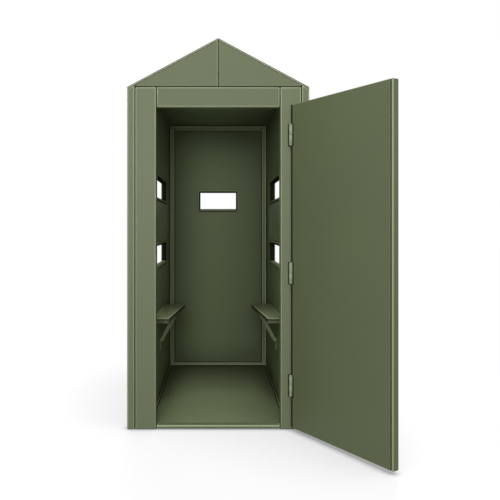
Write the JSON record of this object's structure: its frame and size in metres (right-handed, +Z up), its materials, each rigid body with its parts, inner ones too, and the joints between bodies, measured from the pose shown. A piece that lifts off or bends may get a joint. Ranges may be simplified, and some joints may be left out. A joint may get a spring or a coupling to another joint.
{
  "type": "guard booth",
  "caption": "Steel guard booth with a gable roof, viewing slots, wall shelves on struts and one hinged door, shown open.",
  "frame": {"origin": "middle of the footprint, at ground level", "axes": "+Z up, front and doorway towards -Y, +X to the right seen from the front"},
  "size_m": [1.4547, 2.4938, 2.376],
  "materials": {
    "frame_paint": "satin olive green paint over sheet steel",
    "roof_paint": "satin olive green paint over sheet steel",
    "wall_paint": "satin olive green paint over sheet steel",
    "inside_paint": "satin olive green paint over sheet steel",
    "slot_frame_paint": "satin olive green paint over sheet steel",
    "door_paint": "satin olive green paint over sheet steel",
    "hinge_paint": "satin olive green paint over sheet steel",
    "seal_rubber": "matt black door seal"
  },
  "bodies": {
    "booth": {"floor_plate": "inside_paint", "threshold": "frame_paint", "left_wall": "wall_paint", "right_wall": "wall_paint", "back_wall": "wall_paint", "left_post": "frame_paint", "right_post": "frame_paint", "lintel": "frame_paint", "front_left_tube": "frame_paint", "front_right_tube": "frame_paint", "rear_left_tube": "frame_paint", "rear_right_tube": "frame_paint", "left_base_rail": "frame_paint", "right_base_rail": "frame_paint", "rear_base_rail": "frame_paint", "left_eaves_rail": "frame_paint", "right_eaves_rail": "frame_paint", "rear_eaves_rail": "frame_paint", "front_left_gable": "frame_paint", "front_right_gable": "frame_paint", "rear_left_gable": "frame_paint", "rear_right_gable": "frame_paint", "left_roof_plate": "roof_paint", "right_roof_plate": "roof_paint", "ceiling_panel": "inside_paint", "corner_trims": "inside_paint", "ceiling_trim": "inside_paint", "floor_trim": "inside_paint", "rear_slot_frame": "slot_frame_paint", "left_upper_slot_frame": "slot_frame_paint", "left_lower_slot_frame": "slot_frame_paint", "right_upper_slot_frame": "slot_frame_paint", "right_lower_slot_frame": "slot_frame_paint", "left_shelf": "inside_paint", "right_shelf": "inside_paint", "left_strut": "inside_paint", "right_strut": "inside_paint", "top_hinge_seat": "hinge_paint", "middle_hinge_seat": "hinge_paint", "bottom_hinge_seat": "hinge_paint"},
    "door": {"top_hinge_knuckle": "hinge_paint", "middle_hinge_knuckle": "hinge_paint", "bottom_hinge_knuckle": "hinge_paint", "door_leaf": "door_paint", "door_seal": "seal_rubber"}
  },
  "joints": [
    {"name": "door_hinge", "type": "hinge", "parent": "booth", "child": "door", "pos_m": [0.44, -0.897, 0.949], "axis": [0, 0, 1], "range_deg": [-121, 4]}
  ]
}
